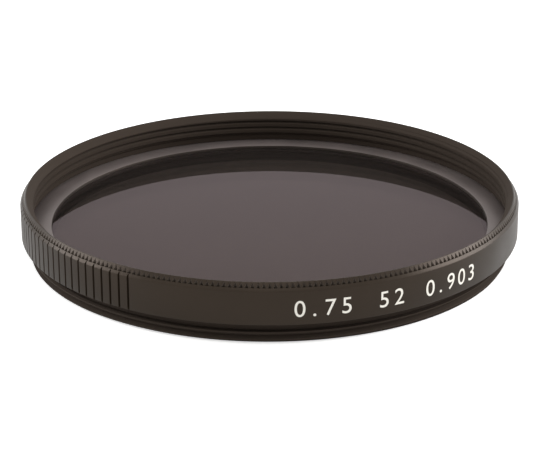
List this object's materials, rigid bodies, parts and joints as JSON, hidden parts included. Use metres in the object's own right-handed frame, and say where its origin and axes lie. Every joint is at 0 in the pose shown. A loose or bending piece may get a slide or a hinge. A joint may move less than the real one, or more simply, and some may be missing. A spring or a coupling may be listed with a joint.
{
  "type": "neutral density camera filter",
  "caption": "Screw-in camera filter: a dark glass disc in a slim black ring with a notched front edge, grip grooves, a male thread behind and a female thread in front.",
  "frame": {"origin": "on the optical axis, at the rear end of the male thread, which is the lowest point as the filter stands", "axes": "+Z along the optical axis towards the scene; -Y is the front of the rim as it faces a reader, where the retaining ring is split; +X is to the right of that view"},
  "size_m": [0.054, 0.054, 0.0067],
  "materials": {
    "anodised_ring": "black anodised, satin",
    "nd_glass": "polished faces, fine ground edge",
    "blackened_spring": "blackened, satin"
  },
  "bodies": {
    "root": {"filter_ring": "anodised_ring", "nd_glass": "nd_glass", "retaining_ring": "blackened_spring"}
  },
  "joints": []
}
